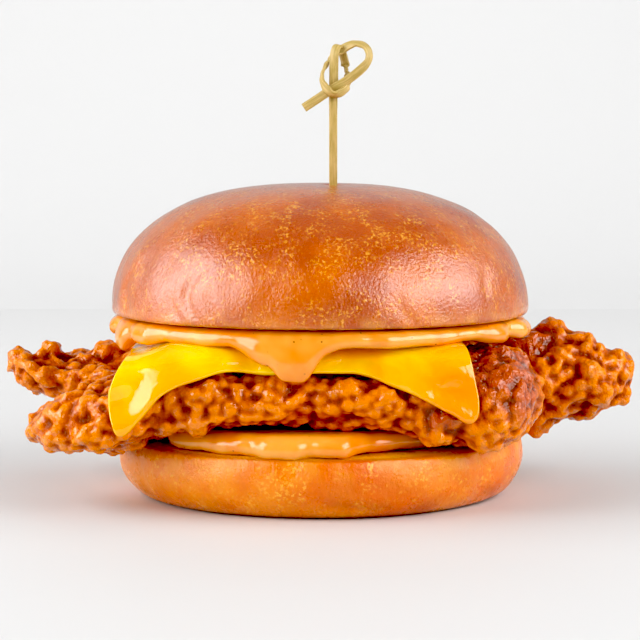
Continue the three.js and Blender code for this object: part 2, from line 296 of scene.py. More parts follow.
class Recipe:
    """A material's nodes, added one at a time."""

    def __init__(self, name: str) -> None:
        """Starts an empty material with a Principled shader.

        Args:
            name: The material's name.
        """
        self.material = bpy.data.materials.new(name)
        self.material.use_nodes = True
        self.tree = self.material.node_tree
        self.shader = self.tree.nodes["Principled BSDF"]
        self.shader.inputs["Subsurface Scale"].default_value = 1.0

    def put(self, socket: Socket, value: object) -> None:
        """Links a socket to an output, or sets its constant.

        Args:
            socket: The input socket.
            value: An output socket, a number or a colour.
        """
        if isinstance(value, Socket):
            self.tree.links.new(value, socket)
        elif isinstance(value, tuple) and len(value) == 3 and socket.type == "RGBA":
            socket.default_value = (*value, 1.0)
        else:
            socket.default_value = value

    def add(
        self, kind: str, inputs: dict | None = None, output: int | str = 0, **settings: object
    ) -> Socket:
        """Adds a node.

        Args:
            kind: The node's type, without the ShaderNode prefix.
            inputs: What goes into its sockets, by name or number.
            output: The output to return.
            settings: The node's own settings.

        Returns:
            The chosen output socket.
        """
        node = self.tree.nodes.new("ShaderNode" + kind)
        for key, value in settings.items():
            setattr(node, key, value)
        for key, value in (inputs or {}).items():
            self.put(node.inputs[key], value)
        return node.outputs[output]

    def place(self, stretch: Triple = (1, 1, 1)) -> Socket:
        """Adds object coordinates in millimetres.

        Args:
            stretch: How much finer what reads them is along each axis.

        Returns:
            The coordinates.
        """
        start = self.add("TexCoord", output="Object")
        scale = tuple(s / MM for s in stretch)
        return self.add("Mapping", {"Vector": start, "Scale": scale})

    def noise(
        self,
        size: float,
        detail: float = 3.0,
        roughness: float = 0.5,
        stretch: Triple = (1, 1, 1),
        distortion: float = 0.0,
    ) -> Socket:
        """Adds noise from 0 to 1.

        Args:
            size: How far apart its features are, in millimetres.
            detail: How many finer layers it has.
            roughness: How strong they are.
            stretch: How much finer it is along each axis.
            distortion: How much it is swirled.

        Returns:
            The noise.
        """
        values = {
            "Vector": self.place(stretch),
            "Scale": 1.0 / size,
            "Detail": detail,
            "Roughness": roughness,
            "Distortion": distortion,
        }
        return self.add("TexNoise", values)

    def patch(
        self, size: float, low: float, high: float, to: Pair = (0.0, 1.0), **noise: object
    ) -> Socket:
        """Noise whose range low to high is spread over another range."""
        return self.remap(self.noise(size, **noise), low, high, *to)

    def cells(self, size: float) -> Socket:
        """Distance to the nearest of scattered points about size millimetres apart."""
        values = {"Vector": self.place(), "Scale": 1.0 / size}
        return self.add("TexVoronoi", values, output="Distance")

    def attribute(self, name: str) -> Socket:
        """A number painted on the mesh."""
        return self.add("Attribute", output="Fac", attribute_name=name)

    def remap(
        self, value: Socket, low: float, high: float, to_low: float = 0.0, to_high: float = 1.0
    ) -> Socket:
        """Maps low..high to to_low..to_high, eased and clamped."""
        sockets = {0: value, 1: low, 2: high, 3: to_low, 4: to_high}
        return self.add("MapRange", sockets, interpolation_type="SMOOTHSTEP")

    def math(self, operation: str, a: object, b: object = 0.0) -> Socket:
        """One sum on two numbers."""
        return self.add("Math", {0: a, 1: b}, operation=operation)

    def mix(self, share: object, a: object, b: object) -> Socket:
        """Mixes two colours."""
        return self.add("Mix", {0: share, 6: a, 7: b}, output=2, data_type="RGBA")

    def ramp(self, value: Socket, stops: list[tuple[float, Colour]]) -> Socket:
        """Adds a colour ramp.

        Args:
            value: What it is read by.
            stops: Place and colour of each stop.

        Returns:
            The colour.
        """
        node = self.tree.nodes.new("ShaderNodeValToRGB")
        self.put(node.inputs[0], value)
        elements = node.color_ramp.elements
        while len(elements) < len(stops):
            elements.new(0.5)
        for element, (position, colour) in zip(elements, stops):
            element.position = position
            element.color = (*colour, 1.0)
        return node.outputs[0]

    def bump(self, height: Socket, depth: float, below: Socket | None = None) -> Socket:
        """Adds a bump.

        Args:
            height: Its height, from 0 to 1.
            depth: How deep it is, in millimetres.
            below: Another bump that it lies on.

        Returns:
            The normal.
        """
        values: dict = {"Height": height, "Distance": depth * MM, "Strength": 1.0}
        if below is not None:
            values["Normal"] = below
        return self.add("Bump", values)

    def finish(self, **sockets: object) -> bpy.types.Material:
        """Fills the shader's sockets.

        Args:
            sockets: What goes into each, its name written with underscores.

        Returns:
            The material.
        """
        for key, value in sockets.items():
            self.put(self.shader.inputs[key.replace("_", " ")], value)
        return self.material


@dataclass(frozen=True)
class BunGlaze:
    """Egg-washed bread crust: mottled golden brown with a fine pitted skin."""

    name: str
    deep: Colour
    usual: Colour
    golden: Colour
    # The colour of painted shade at the joints, also used for a darker crack.
    shade_and_toast: Colour
    golden_share: float
    roughness: float
    shine: float
    coat: float
    coat_ior: float
    peel_depth: float

    def material(self) -> bpy.types.Material:
        """Builds the material.

        Returns:
            The material.
        """
        r = Recipe(self.name)
        colour = r.mix(r.patch(17, 0.38, 0.66), self.usual, self.deep)
        patches = r.patch(6, 0.4, 0.66, detail=4, roughness=0.62)
        specks = r.patch(0.85, 0.53, 0.64, roughness=0.6)
        blots = r.patch(2.3, 0.58, 0.7, detail=4, roughness=0.7)
        gold = r.math("MULTIPLY", r.math("MAXIMUM", specks, blots), patches)
        colour = r.mix(r.math("MULTIPLY", gold, self.golden_share), colour, self.golden)
        dark = r.patch(1.1, 0.6, 0.75, (0.0, 0.5), roughness=0.6)
        colour = r.mix(dark, colour, self.deep)
        colour = r.mix(r.attribute("pale"), colour, self.golden)
        # Painted shade where the mesh marks it, along the joints with other parts and at the floor,
        # with a darker crack.
        colour = r.mix(r.attribute("shade_and_toast"), colour, self.shade_and_toast)
        skin = r.bump(r.noise(1.3, detail=2, stretch=(1, 1, 0.4), distortion=0.5), self.peel_depth)
        skin = r.bump(r.noise(0.75, roughness=0.65), self.peel_depth * 1.1, skin)
        gloss = r.patch(4, 0.3, 0.7, (self.roughness - 0.05, self.roughness + 0.07))
        wash = r.bump(r.noise(0.8, detail=2, roughness=0.65), self.peel_depth * 0.68)
        return r.finish(
            Base_Color=colour,
            Roughness=gloss,
            Normal=skin,
            Coat_Normal=wash,
            Specular_IOR_Level=self.shine,
            Coat_Weight=self.coat,
            Coat_Roughness=0.12,
            Coat_IOR=self.coat_ior,
            Subsurface_Weight=0.08,
            Subsurface_Radius=(0.0016, 0.0006, 0.0002),
        )


@dataclass(frozen=True)
class FriedCoating:
    """Fried breading: golden knobs, painted shade in the creases, oily shine and glaze where
    painted.
    """

    name: str
    # The first two colours are painted shade, laid into the creases by the relief ramp below.
    crease_shade: Colour
    shade: Colour
    usual: Colour
    peak: Colour
    glaze: Colour

    def material(self) -> bpy.types.Material:
        """Builds the material.

        Returns:
            The material.
        """
        r = Recipe(self.name)
        height = r.attribute("height")
        mottle = r.patch(2.6, 0.2, 0.8, (-0.13, 0.13), detail=4, roughness=0.6)
        lifted = r.math("ADD", height, mottle)
        # Painted shade: the ramp darkens the creases by the relief, and the knob tops keep the
        # crust's golden colour.
        stops = [(0.12, self.crease_shade), (0.36, self.shade), (0.56, self.usual), (0.86, self.peak)]
        colour = r.ramp(lifted, stops)
        # The mid shade colour also tints broad browned patches, which are the crust's own colour.
        browned = r.mix(0.55, colour, self.shade)
        colour = r.mix(r.patch(13, 0.52, 0.75, (0.0, 0.7), detail=2), colour, browned)
        colour = r.mix(r.patch(0.55, 0.6, 0.78, (0.0, 0.4), detail=2), colour, self.peak)
        glaze = r.attribute("glaze")
        # Painted shade: the glaze darkens towards the creases by the relief.
        sticky = r.mix(r.remap(height, 0.2, 0.8), self.crease_shade, self.glaze)
        colour = r.mix(r.math("MULTIPLY", glaze, 0.85), colour, sticky)
        crisp = r.bump(r.noise(1.3, roughness=0.6), 0.6)
        crisp = r.bump(r.noise(0.7, detail=1), 0.32, crisp)
        gloss = r.patch(4.5, 0.35, 0.65, (0.13, 0.26))
        gloss = r.math("SUBTRACT", gloss, r.math("MULTIPLY", glaze, 0.1))
        runny = r.math("MULTIPLY", r.noise(2.2, detail=2, distortion=0.8), glaze)
        crisp = r.bump(runny, 1.0, crisp)
        film = r.bump(runny, 1.0, r.bump(r.noise(1.5, detail=1), 0.4))
        glints = r.patch(1.5, 0.46, 0.6, (0.08, 1.0), detail=2)
        wet = r.math("MULTIPLY", r.remap(height, 0.3, 0.6, 0.05, 1.0), glints)
        wet = r.math("MAXIMUM", wet, r.math("MULTIPLY", glaze, 0.8))
        return r.finish(
            Base_Color=colour,
            Roughness=gloss,
            Normal=crisp,
            Coat_Normal=film,
            Specular_IOR_Level=0.2,
            Coat_Weight=wet,
            Coat_Roughness=0.05,
            Coat_IOR=1.6,
            Subsurface_Weight=0.1,
            Subsurface_Radius=(0.0015, 0.0005, 0.0001),
        )


@dataclass(frozen=True)
class MeltedCheese:
    """Processed cheese that has softened: even yellow, greasy and slightly translucent."""

    name: str
    yellow: Colour
    orange: Colour

    def material(self) -> bpy.types.Material:
        """Builds the material.

        Returns:
            The material.
        """
        r = Recipe(self.name)
        clouds = r.patch(16, 0.35, 0.65, (0.0, 0.6), detail=2)
        colour = r.mix(clouds, self.yellow, self.orange)
        colour = r.mix(r.attribute("thin"), colour, self.orange)
        pores = r.bump(r.noise(2.6, detail=2, distortion=0.6), 0.16)
        skin = r.bump(r.noise(0.7, detail=2), 0.012, pores)
        return r.finish(
            Base_Color=colour,
            Roughness=r.patch(3.5, 0.3, 0.7, (0.13, 0.26)),
            Normal=skin,
            Specular_IOR_Level=0.5,
            Coat_Normal=skin,
            Coat_Weight=0.7,
            Coat_Roughness=0.1,
            Subsurface_Weight=0.3,
            Subsurface_Radius=(0.004, 0.002, 0.0003),
        )


@dataclass(frozen=True)
class SpicedSauce:
    """Thick wet sauce with small dark specks of spice."""

    name: str
    body: Colour
    warm: Colour
    speck: Colour

    def material(self) -> bpy.types.Material:
        """Builds the material.

        Returns:
            The material.
        """
        r = Recipe(self.name)
        colour = r.mix(r.patch(9, 0.35, 0.65, detail=2), self.body, self.warm)
        colour = r.mix(r.attribute("low"), colour, self.warm)
        dots = r.remap(r.cells(1.9), 0.1, 0.15, 1.0, 0.0)
        speck = r.math("MULTIPLY", dots, r.patch(3.1, 0.52, 0.6, detail=1))
        colour = r.mix(r.math("MULTIPLY", speck, 0.8), colour, self.speck)
        skin = r.bump(r.noise(1.6, detail=2), 0.03)
        return r.finish(
            Base_Color=colour,
            Roughness=0.17,
            Normal=skin,
            Specular_IOR_Level=0.5,
            Coat_Normal=skin,
            Coat_Weight=0.6,
            Coat_Roughness=0.08,
            Subsurface_Weight=0.25,
            Subsurface_Radius=(0.003, 0.0014, 0.0004),
        )


@dataclass(frozen=True)
class SplitBamboo:
    """A shaved bamboo strip with grain along it."""

    name: str
    green: Colour
    straw: Colour
    dark: Colour

    def material(self) -> bpy.types.Material:
        """Builds the material.

        Returns:
            The material.
        """
        r = Recipe(self.name)
        uv = r.add("UVMap", uv_map="strip")
        grain = []
        for stretch, detail in (((5.0, 0.18, 1.0), 4.0), ((16.0, 0.5, 1.0), 3.0)):
            along = r.add("Mapping", {"Vector": uv, "Scale": stretch})
            values = {"Vector": along, "Scale": 1.0, "Detail": detail, "Roughness": 0.6}
            grain.append(r.add("TexNoise", values))
        fibre, fine = grain
        colour = r.mix(r.remap(fibre, 0.35, 0.68), self.green, self.straw)
        colour = r.mix(r.remap(fine, 0.6, 0.8, 0.0, 0.6), colour, self.dark)
        colour = r.mix(r.patch(4, 0.5, 0.72, (0.0, 0.35), detail=2), colour, self.straw)
        return r.finish(
            Base_Color=colour,
            Roughness=0.42,
            Normal=r.bump(fine, 0.05),
            Specular_IOR_Level=0.45,
            Subsurface_Weight=0.08,
            Subsurface_Radius=(0.001, 0.0006, 0.0002),
        )


class Finish(Enum):
    """The finishes of the burger's pieces."""

    TOP_BUN = BunGlaze(
        "top_bun_crust",
        deep=(0.46, 0.075, 0.002),
        usual=(0.62, 0.13, 0.003),
        golden=(0.93, 0.44, 0.05),
        shade_and_toast=(0.2, 0.03, 0.003),
        golden_share=0.8,
        roughness=0.3,
        shine=0.3,
        coat=1.0,
        coat_ior=1.72,
        peel_depth=0.36,
    )
    BOTTOM_BUN = BunGlaze(
        "bottom_bun_crust",
        deep=(0.74, 0.14, 0.005),
        usual=(0.86, 0.26, 0.012),
        golden=(0.97, 0.5, 0.07),
        shade_and_toast=(0.3, 0.05, 0.004),
        golden_share=0.85,
        roughness=0.3,
        shine=0.6,
        coat=0.2,
        coat_ior=1.5,
        peel_depth=0.22,
    )
    CRUST = FriedCoating(
        "fried_coating",
        # The first two colours are painted shade for the creases; then the usual crust, the knob
        # tops and the glaze.
        (0.23, 0.036, 0.001),
        (0.44, 0.078, 0.003),
        (0.6, 0.125, 0.004),
        (0.82, 0.24, 0.012),
        (0.5, 0.07, 0.003),
    )
    CHEESE = MeltedCheese("melted_cheese", (0.97, 0.66, 0.008), (0.93, 0.29, 0.006))
    SAUCE = SpicedSauce(
        "spiced_sauce", (0.88, 0.38, 0.065), (0.85, 0.28, 0.032), (0.12, 0.02, 0.01)
    )
    BAMBOO = SplitBamboo("split_bamboo", (0.43, 0.31, 0.085), (0.62, 0.45, 0.18), (0.2, 0.12, 0.03))


# ---------------- turned pieces


@dataclass
class TurnedPiece:
    """A round solid drawn up ring by ring from a circle.

    Attributes:
        name: The piece's name.
        segments: Sides of the first circle.
        rings: Radius and height of each ring, in millimetres, from the lowest up.
        fineness: Levels of the subdivision that rounds it.
    """

    name: str
    segments: int
    rings: list[Pair]
    fineness: int

    def build(self) -> Piece:
        """Draws up and rounds the solid.

        Returns:
            The closed mesh object.
        """
        deselect_all()
        (radius, height), *rest = self.rings
        start = {"radius": radius * MM, "location": (0, 0, height * MM)}
        bpy.ops.mesh.primitive_circle_add(vertices=self.segments, fill_type="NGON", **start)
        piece = bpy.context.object
        piece.name = piece.data.name = self.name
        bpy.ops.object.transform_apply(location=True, rotation=True, scale=True)
        bpy.ops.object.mode_set(mode="EDIT")
        bpy.ops.mesh.select_all(action="SELECT")
        for next_radius, next_height in rest:
            lift = (next_height - height) * MM
            bpy.ops.mesh.extrude_region_move(TRANSFORM_OT_translate={"value": (0, 0, lift)})
            share = next_radius / radius
            bpy.ops.transform.resize(
                value=(share, share, 1), center_override=(0, 0, next_height * MM)
            )
            radius, height = next_radius, next_height
        face_outwards(piece)
        if self.fineness:
            apply_modifier(piece, "SUBSURF", levels=self.fineness, render_levels=self.fineness)
        return piece


def bun_wobble(angle: Array) -> Array:
    """How far a baked bun is from round, as a factor of its radius."""
    waves = ((0.006, 2, 0.6), (0.004, 3, -1.1), (0.003, 5, 0.0))
    return 1 + sum(size * np.cos(count * angle + turn) for size, count, turn in waves)


def polar(points: Array) -> tuple[Array, Array]:
    """The angle and the radius of each place round the burger."""
    return np.arctan2(points[:, 1], points[:, 0]), np.hypot(points[:, 0], points[:, 1])


def angle_gap(angle: Array, degrees: float) -> Array:
    """How far each angle is from a direction, in degrees from 0 to 180."""
    gap = np.degrees(angle) - degrees
    return np.abs((gap + 180.0) % 360.0 - 180.0)


BUN_SIDES = 80
BUN_FINENESS = 2


@dataclass
class TopBun:
    """The domed top bun, with a few creases and a dimple round the pick.

    Attributes:
        radius: At the widest ring.
        cut_face: Level of the cut face.
        lip: From there up to the widest ring.
        apex: Level of the top.
        dome: Power of the dome's curve in height.
        shoulder: Power of the dome's curve in radius.
        oval: How much wider than deep it is.
        pick: Where the pick goes in.
        dimple: Depth and radius of the dimple there.
        creases: Direction in degrees, level, width and depth.
    """

    radius: float = 54.0
    cut_face: float = 47.0
    lip: float = 2.4
    apex: float = 80.6
    dome: float = 1.95
    shoulder: float = 2.8
    oval: float = 1.012
    pick: Pair = (3.4, -6.0)
    dimple: Pair = (0.9, 1.9)
    creases: tuple[Four, ...] = (
        (-121.5, 54.0, 1.4, 0.9), (-127.0, 52.0, 1.2, 0.35), (-114.0, 51.0, 1.5, 0.45),
        (-64.0, 52.0, 1.6, 0.3), (-150.0, 55.0, 1.8, 0.4), (-35.0, 55.0, 1.6, 0.35),
        (60.0, 55.0, 1.8, 0.4), (130.0, 54.0, 1.6, 0.4),
    )

    def rings(self) -> list[Pair]:
        """Works out the outline.

        Returns:
            Radius and height of each ring, from the middle of the cut face to the apex.
        """
        widest = self.cut_face + self.lip
        rise = self.apex - widest
        face = [(r, self.cut_face) for r in (3.0, 16.0, 30.0, 42.0, 49.0)]
        edge = [
            (self.radius - 1.4, self.cut_face),
            (self.radius - 0.75, self.cut_face + 0.12),
            (self.radius - 0.3, self.cut_face + 0.5),
            (self.radius - 0.08, self.cut_face + 1.2),
            (self.radius, widest),
        ]
        shares = [math.sin(math.pi / 2 * i / 17) for i in range(1, 17)]
        dome = [
            (self.radius * (1 - s**self.dome) ** (1 / self.shoulder), widest + rise * s)
            for s in shares
        ]
        return face + edge + dome + [(3.0, self.apex)]

    def shape(self, points: Array) -> Array:
        """Gives the turned dome its baked unevenness.

        Args:
            points: The turned vertices in millimetres.

        Returns:
            The moved vertices.
        """
        angle, radius = polar(points)
        z = points[:, 2]
        outward = np.stack([np.cos(angle), np.sin(angle), 0 * angle], axis=1)
        skin = smoothstep((z - self.cut_face) / 3.0)
        moved = points.copy()
        moved[:, :2] *= bun_wobble(angle + 0.9)[:, None]
        moved[:, 0] *= self.oval
        sink = 0.3 * wave_noise(points, 22, 5, 2) * skin
        for degrees, level, width, depth in self.creases:
            across = np.radians(angle_gap(angle, degrees + 6 * np.sin(z / 5.0))) * radius
            sink -= depth * bell(across, width) * bell(z - level, 5.5)
        moved += outward * sink[:, None]
        away = np.hypot(points[:, 0] - self.pick[0], points[:, 1] - self.pick[1])
        depth, width = self.dimple
        moved[:, 2] -= np.where(z > self.apex - 6, depth * bell(away, width), 0)
        moved[:, 2] -= 0.15 * skin
        return moved

    def build(self) -> Piece:
        """Makes and dresses the top bun.

        Returns:
            The finished piece.
        """
        piece = TurnedPiece("Top_bun_crust", BUN_SIDES, self.rings(), BUN_FINENESS).build()
        points = coordinates(piece)
        move_to(piece, self.shape(points))
        angle, _ = polar(points)
        z = points[:, 2]
        rim = 1 - smoothstep((z - self.cut_face - 0.5) / 5.0)
        face = 1 - smoothstep((z - self.cut_face) / 0.5)
        spots = smoothstep(wave_noise(points, 7, 11, 3) * 0.5 + 0.45)
        paint(piece, "pale", np.clip(0.3 * rim * spots + 0.8 * face, 0, 1))
        # Painted shade: a thin dark band along the lip where the bun sits on the sauce, broken up
        # by noise.
        edge = bell(z - self.cut_face - 0.2, 0.35)
        lip_shade = smoothstep(wave_noise(points, 6, 12, 2) * 0.6 + 0.5)
        paint(piece, "shade_and_toast", np.clip(0.75 * edge * lip_shade, 0, 1))
        hand_over(piece, "top_bun", Finish.TOP_BUN)
        return piece


@dataclass
class BottomBun:
    """The bottom bun: a rounded foot, a soft belly and a cut top.

    Attributes:
        base: Radius of the flat base.
        radius: At the widest ring.
        widest: Level of that ring.
        height: Level of the cut face.
        lip: How far below it the edge starts to round.
        creases: Direction in degrees and depth.
    """

    base: float = 44.0
    radius: float = 52.7
    widest: float = 11.0
    height: float = 15.7
    lip: float = 1.6
    creases: tuple[Pair, ...] = (
        (-97, 0.5), (-83, 0.35), (-38, 0.4), (-150, 0.4), (70, 0.5), (140, 0.4),
    )

    def rings(self) -> list[Pair]:
        """Works out the outline.

        Returns:
            Radius and height of each ring, from the middle of the base to the cut face.
        """
        base = [(r, 0.0) for r in (3.0, 16.0, 30.0, 40.0, 43.2)]
        foot = []
        for i in range(1, 10):
            turn = i / 9 * math.pi / 2
            grown = self.base + (self.radius - self.base) * math.sin(turn)
            foot.append((grown, self.widest * (1 - math.cos(turn))))
        top = [
            (self.radius - 0.4, self.height - self.lip),
            (self.radius - 1.1, self.height - self.lip / 3),
            (self.radius - 2.2, self.height),
        ]
        face = [(r, self.height) for r in (47.0, 38.0, 26.0, 12.0, 3.0)]
        return base + foot + top + face

    def build(self) -> Piece:
        """Makes and dresses the bottom bun.

        Returns:
            The finished piece.
        """
        piece = TurnedPiece("Bottom_bun_crust", BUN_SIDES, self.rings(), BUN_FINENESS).build()
        points = coordinates(piece)
        angle, radius = polar(points)
        z = points[:, 2]
        side = smoothstep(z / 2.0) * (1 - smoothstep((z - self.height + 1.6) / 1.6))
        moved = points.copy()
        moved[:, :2] *= bun_wobble(angle)[:, None]
        push = 0.22 * wave_noise(points, 14, 21, 2) * side - 0.1 * side
        for degrees, depth in self.creases:
            across = np.radians(angle_gap(angle, degrees)) * radius
            push -= depth * bell(across, 2.2) * side
        moved[:, 0] += push * np.cos(angle)
        moved[:, 1] += push * np.sin(angle)
        move_to(piece, moved)
        foot = 1 - smoothstep((z - 1.0) / 6.0)
        crown = smoothstep((z - 9.5) / 4.0)
        spots = smoothstep(wave_noise(points, 9, 31, 3) * 0.6 + 0.45)
        face = smoothstep((z - self.height + 0.7) / 0.7)
        paint(piece, "pale", np.clip(spots * (0.1 + 0.2 * crown) - 0.3 * foot + 0.9 * face, 0, 1))
        # Painted shade in a ring under the filling and at the foot on the floor, with darker
        # blotches low on the side and a darker crack.
        ring = smoothstep((z - self.height + 1.1) / 0.6)
        ring *= 1 - smoothstep((z - self.height + 0.3) / 0.3)
        ground = 1 - smoothstep(z / 1.6)
        blush = bell(z - 3.2, 2.2) * smoothstep(wave_noise(points, 13, 33, 1) * 0.9)
        crack = bell(np.radians(angle_gap(angle, -94.9)) * radius, 0.25) * crown
        paint(piece, "shade_and_toast", np.clip(0.5 * ring + 0.45 * ground + 0.4 * blush + 0.5 * crack, 0, 1))
        hand_over(piece, "bottom_bun", Finish.BOTTOM_BUN)
        return piece


# ---------------- sauces


@dataclass
class SaucePuddle:
    """A thick puddle with a fat rim that squeezes out in lobes.

    Attributes:
        name: The piece's name.
        node: The solid that it stands for.
        radius: The rim's radius between lobes.
        squeeze: How much less it is at the left and right.
        floor: The lower level.
        ceiling: The upper level.
        lobes: Direction and half width in degrees, reach and hang in millimetres.
        seed: Picks the unevenness.
        segments: Sides all round.
        RINGS: The rim's section: inset, level from 0 to 1 and share of the hang.
    """

    name: str
    node: str
    radius: float
    squeeze: float
    floor: float
    ceiling: float
    lobes: tuple[Four, ...]
    seed: int
    segments: int = 360

    RINGS = (
        (9.0, 0.0, 0.0), (7.0, 0.01, 0.0), (5.5, 0.03, 0.02), (4.0, 0.04, 0.45),
        (2.8, 0.02, 0.86), (1.5, 0.03, 1.0), (0.6, 0.14, 0.95), (0.1, 0.3, 0.8),
        (0.0, 0.45, 0.64), (0.25, 0.62, 0.46), (0.8, 0.78, 0.3), (1.8, 0.9, 0.14),
        (3.0, 0.97, 0.04), (5.0, 1.0, 0.0), (9.0, 1.0, 0.0),
    )

    def lobe(self, angle: Array, column: int) -> Array:
        """Melts all lobes together.

        Args:
            angle: Direction of each place in radians.
            column: 2 for the lobes' reach, 3 for their hang.

        Returns:
            One number for each angle, in millimetres.
        """
        total = np.zeros_like(angle)
        for entry in self.lobes:
            share = smoothstep(1.3 * (1 - angle_gap(angle, entry[0]) / entry[1]))
            total += (entry[column] * share) ** 4
        return total**0.25

    def build(self) -> Piece:
        """Makes and dresses the puddle.

        Returns:
            The finished piece.
        """
        inner = self.radius - self.RINGS[0][0]
        profile = self.profile()
        start = [(3.0, self.floor), (inner * 0.6, self.floor)]
        middle = [
            (self.radius - inset, self.floor + (self.ceiling - self.floor) * level)
            for inset, level, _ in profile
        ]
        end = [(inner * 0.6, self.ceiling), (3.0, self.ceiling)]
        piece = TurnedPiece(self.name, self.segments, start + middle + end, 0).build()
        points = coordinates(piece)
        angle, radius = polar(points)
        rim = (self.radius - self.squeeze * np.cos(angle) ** 2) * bun_wobble(angle)
        rim += self.lobe(angle, 2)
        around = np.stack([np.cos(angle) * 50, np.sin(angle) * 50, 0 * angle], axis=1)
        rim += 0.25 * wave_noise(around, 9, self.seed, 2)
        sag = self.lobe(angle, 3) + 0.22 * wave_noise(around, 11, self.seed + 1, 2)
        moved = points.copy()
        for i, (inset, _, hang) in enumerate(profile, len(start)):
            rows = slice(i * self.segments, (i + 1) * self.segments)
            factor = (rim[rows] - inset) / radius[rows]
            moved[rows, :2] *= factor[:, None]
            moved[rows, 2] -= hang * sag[rows]
        move_to(piece, moved)
        depth = (self.floor - moved[:, 2]) / 7.0
        paint(piece, "low", np.clip(0.8 * depth, 0, 0.7))
        hand_over(piece, self.node, Finish.SAUCE)
        return piece

    def profile(self) -> list[Triple]:
        """Smooths the rim's section.

        Returns:
            Inset, level and share of the hang, with three steps from one ring to the next.
        """
        rings = np.array(self.RINGS)
        places = np.linspace(0, len(rings) - 1, (len(rings) - 1) * 3 + 1)
        columns = [np.interp(places, range(len(rings)), rings[:, k]) for k in range(3)]
        for column in columns:
            for _ in range(4):
                column[1:-1] = (column[:-2] + 2 * column[1:-1] + column[2:]) / 4
        return list(zip(*(c.tolist() for c in columns)))


TOP_SAUCE = SaucePuddle(
    "Top_sauce",
    "top_sauce",
    radius=53.2,
    squeeze=0.6,
    floor=42.4,
    ceiling=46.9,
    lobes=(
        (-100, 17, 1.0, 4.6), (-97, 10, 1.3, 8.3), (-124, 16, 0.6, 0.3), (-64, 22, 0.8, 0.2),
        (-147, 10, 1.6, 1.4), (-161, 9, 2.1, 4.0), (-176, 9, 2.3, 1.2), (-33, 10, 2.1, 1.1),
        (-17, 10, 2.8, 0.9), (8, 14, 0.9, 0.4), (43, 16, 1.5, 1.8), (82, 18, 1.5, 4.2),
        (118, 14, 0.9, 1.0), (150, 15, 1.7, 2.2),
    ),
    seed=41,
)

BOTTOM_SAUCE = SaucePuddle(
    "Bottom_sauce",
    "bottom_sauce",
    radius=45.8,
    squeeze=3.0,
    floor=15.85,
    ceiling=21.2,
    lobes=(
        (-131, 24, 5.8, 0.2), (-115, 14, 5.6, 0.2), (-101, 15, 6.8, 0.9), (-87, 12, 6.2, 0.3),
        (-81, 9, 3.0, 0.1), (40, 16, 5.4, 0.2), (70, 16, 6.6, 0.7), (101, 20, 6.2, 0.3),
    ),
    seed=51,
)


# ---------------- cheese


@dataclass(frozen=True)
class Hem:
    """One edge of the slice: how far it hangs in the middle and at its two corners.

    Attributes:
        middle: The hang in the middle, in millimetres.
        left: The hang at the left corner.
        right: The hang at the right corner.
        left_spread: How wide the left corner is, as a share of half the edge.
        right_spread: The same for the right corner.
    """

    middle: float
    left: float
    right: float
    left_spread: float
    right_spread: float

    def hang(self, share: Array) -> Array:
        """How far the slice hangs past its bend.

        Args:
            share: Place across the slice, -1 at the left edge to 1 at the right.

        Returns:
            The length in millimetres.
        """
        from_left = 1 - np.clip((share + 1) / self.left_spread, 0, 1)
        from_right = 1 - np.clip((1 - share) / self.right_spread, 0, 1)
        hang = self.middle + (self.left - self.middle) * from_left**1.8
        hang += (self.right - self.middle) * from_right**1.15
        rounding = 5 * (1 - np.sqrt(1 - np.clip((np.abs(share) - 0.9) / 0.1, 0, 1) ** 2))
        return hang - np.minimum(rounding, hang * 0.8)


